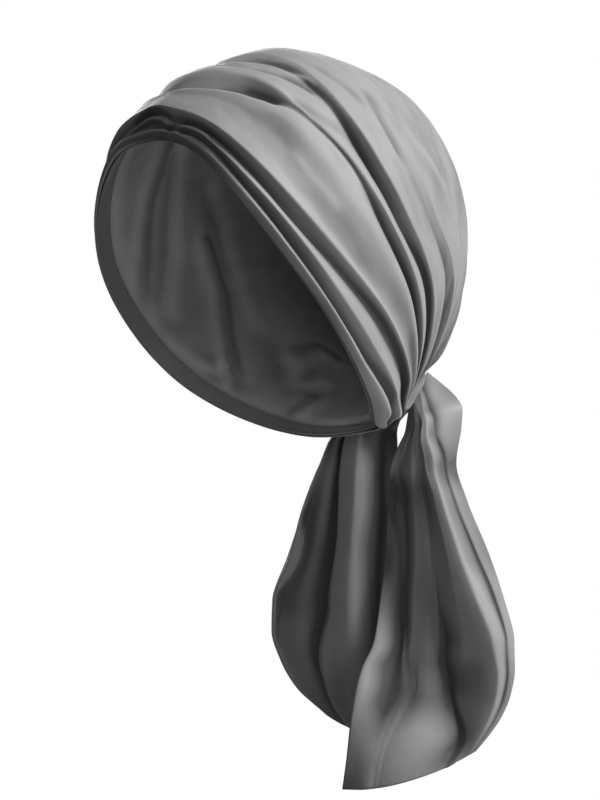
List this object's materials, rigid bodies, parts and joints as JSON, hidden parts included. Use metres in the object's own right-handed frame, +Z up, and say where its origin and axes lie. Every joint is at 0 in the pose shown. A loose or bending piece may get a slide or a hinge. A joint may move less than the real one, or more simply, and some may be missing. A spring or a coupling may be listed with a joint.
{
  "type": "turban",
  "caption": "Pre-tied soft head wrap with a lined open cap, pleats gathered to a knot at the nape, and two wide hanging tails.",
  "frame": {"origin": "inside of the crown, where the lining rests on the top of the wearer's head", "axes": "+Z up, -Y the way the wearer faces, +X the wearer's left"},
  "size_m": [0.1673, 0.2074, 0.3812],
  "materials": {
    "outer_cloth": "smooth grey jersey with a soft sheen",
    "inner_cloth": "dull dark grey lining jersey"
  },
  "bodies": {
    "root": {"wrap": "outer_cloth", "rim_band": "inner_cloth", "lining": "inner_cloth", "tail_left": "outer_cloth", "tail_right": "outer_cloth", "knot": "outer_cloth"}
  },
  "joints": []
}
